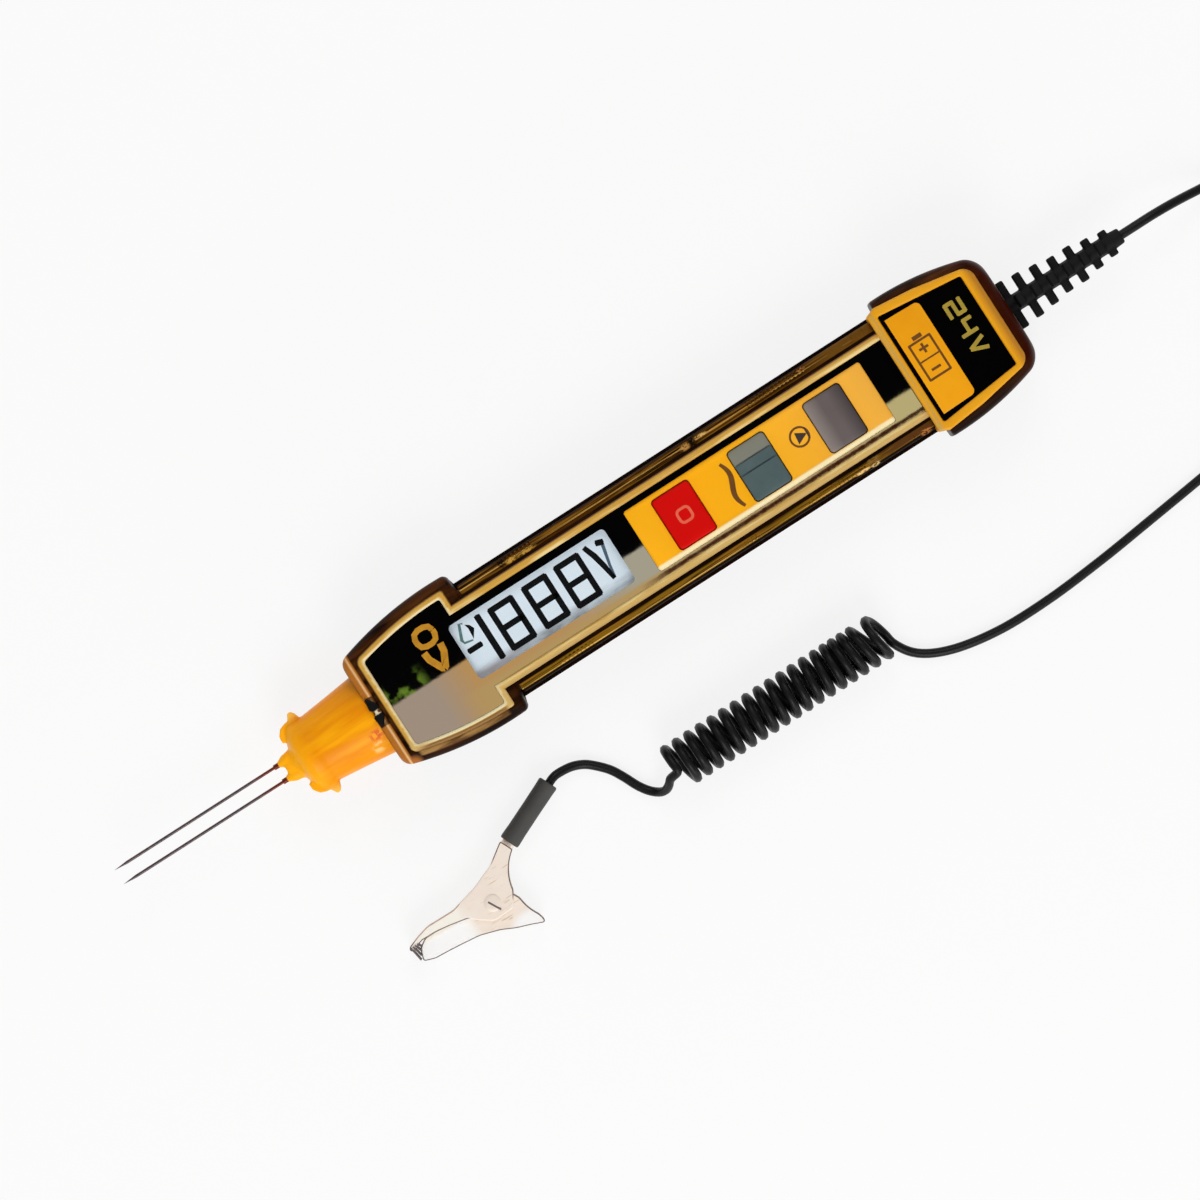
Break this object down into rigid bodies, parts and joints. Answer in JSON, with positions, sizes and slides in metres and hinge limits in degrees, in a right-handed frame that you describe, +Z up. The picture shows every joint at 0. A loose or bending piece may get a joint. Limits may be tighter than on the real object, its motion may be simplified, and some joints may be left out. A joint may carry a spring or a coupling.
{
  "type": "automotive circuit tester",
  "caption": "Slim hand-held circuit tester with two needle probes, a number display, three push buttons, and a curly lead to an alligator clip.",
  "frame": {"origin": "under the middle of the tester, from needle tips to the end of the strain relief, on the table it lies on", "axes": "+X from the needles to the lead, +Z up out of the face, +Y across the tester, away from the lead"},
  "size_m": [0.2908, 0.0743, 0.0208],
  "materials": {
    "shell": "dark maroon moulded ABS, gloss",
    "grip": "brown-gold soft grip with small ribs",
    "gold_frame": "gold lacquered frame, satin gloss",
    "face": "gloss black acrylic",
    "window": "clear lens, polished",
    "yellow_plate": "yellow moulded plastic, satin",
    "red_button": "red moulded plastic, satin",
    "teal_button": "teal-grey moulded plastic, satin",
    "grey_button": "warm grey moulded plastic, satin",
    "label": "orange lacquered label plate, bare",
    "amber": "amber translucent polycarbonate",
    "black_part": "black moulded plastic, satin",
    "needle": "dark plated steel",
    "rubber_black": "soft black PVC, matt",
    "sleeve": "soft dark grey PVC, matt",
    "brass_part": "turned brass",
    "wire_red": "PVC insulation",
    "lamp": "clear epoxy",
    "board": "green solder mask",
    "lcd": "display glass, pale blue-white",
    "diffuser": "white diffuser",
    "component": "black epoxy",
    "ceramic_part": "white ceramic",
    "tin": "tinned steel",
    "screw": "zinc plated steel",
    "clip_metal": "folded sheet steel, pale plated"
  },
  "bodies": {
    "tester": {"lower_shell": "shell", "upper_shell": "shell", "side_grip_left": "grip", "side_grip_right": "grip", "face_bezel": "gold_frame", "face_panel": "face", "display_window": "window", "button_plate": "yellow_plate", "end_cap": "shell", "cap_bezel": "gold_frame", "cap_panel": "face", "label_plate": "label", "battery_door": "black_part", "case_screws": "screw", "nose": "amber", "nose_latch": "black_part", "needle_left": "needle", "needle_right": "needle", "strain_relief": "rubber_black", "needle_sockets": "brass_part", "needle_wires": "wire_red", "nose_lamp": "lamp", "circuit_board": "board", "display_glass": "lcd", "display_backlight": "diffuser", "display_contacts": "component", "switch_housings": "component", "main_chip": "component", "buzzer": "component", "input_fuse": "ceramic_part", "crystal": "tin", "cell_left": "tin", "cell_right": "tin", "cell_contacts": "tin", "lead_inner": "rubber_black", "lead_to_coil": "rubber_black", "coil": "rubber_black", "lead_to_clip": "rubber_black", "clip_boot": "sleeve", "clip_fixed_jaw": "clip_metal", "clip_pivot": "tin", "clip_spring": "screw"},
    "red_button": {"button_red": "red_button", "plunger_red": "ceramic_part"},
    "teal_button": {"button_teal": "teal_button", "plunger_teal": "ceramic_part"},
    "grey_button": {"button_grey": "grey_button", "plunger_grey": "ceramic_part"},
    "clip_lever": {"clip_lever_jaw": "clip_metal"}
  },
  "joints": [
    {"name": "red_press", "type": "slide", "parent": "tester", "child": "red_button", "axis": [0, 0, -1], "range_m": [0, 0.0006], "stiffness_N_per_m": 400, "springref_m": -0.0008},
    {"name": "teal_press", "type": "slide", "parent": "tester", "child": "teal_button", "axis": [0, 0, -1], "range_m": [0, 0.0006], "stiffness_N_per_m": 400, "springref_m": -0.0008},
    {"name": "grey_press", "type": "slide", "parent": "tester", "child": "grey_button", "axis": [0, 0, -1], "range_m": [0, 0.0006], "stiffness_N_per_m": 400, "springref_m": -0.0008},
    {"name": "clip_open", "type": "hinge", "parent": "tester", "child": "clip_lever", "pos_m": [-0.0621, -0.0471, 0.0033], "axis": [0, 0, 1], "range_deg": [0, 30], "stiffness_Nm_per_rad": 0.03, "springref_deg": -28.65, "deforming": ["clip_spring"]}
  ]
}
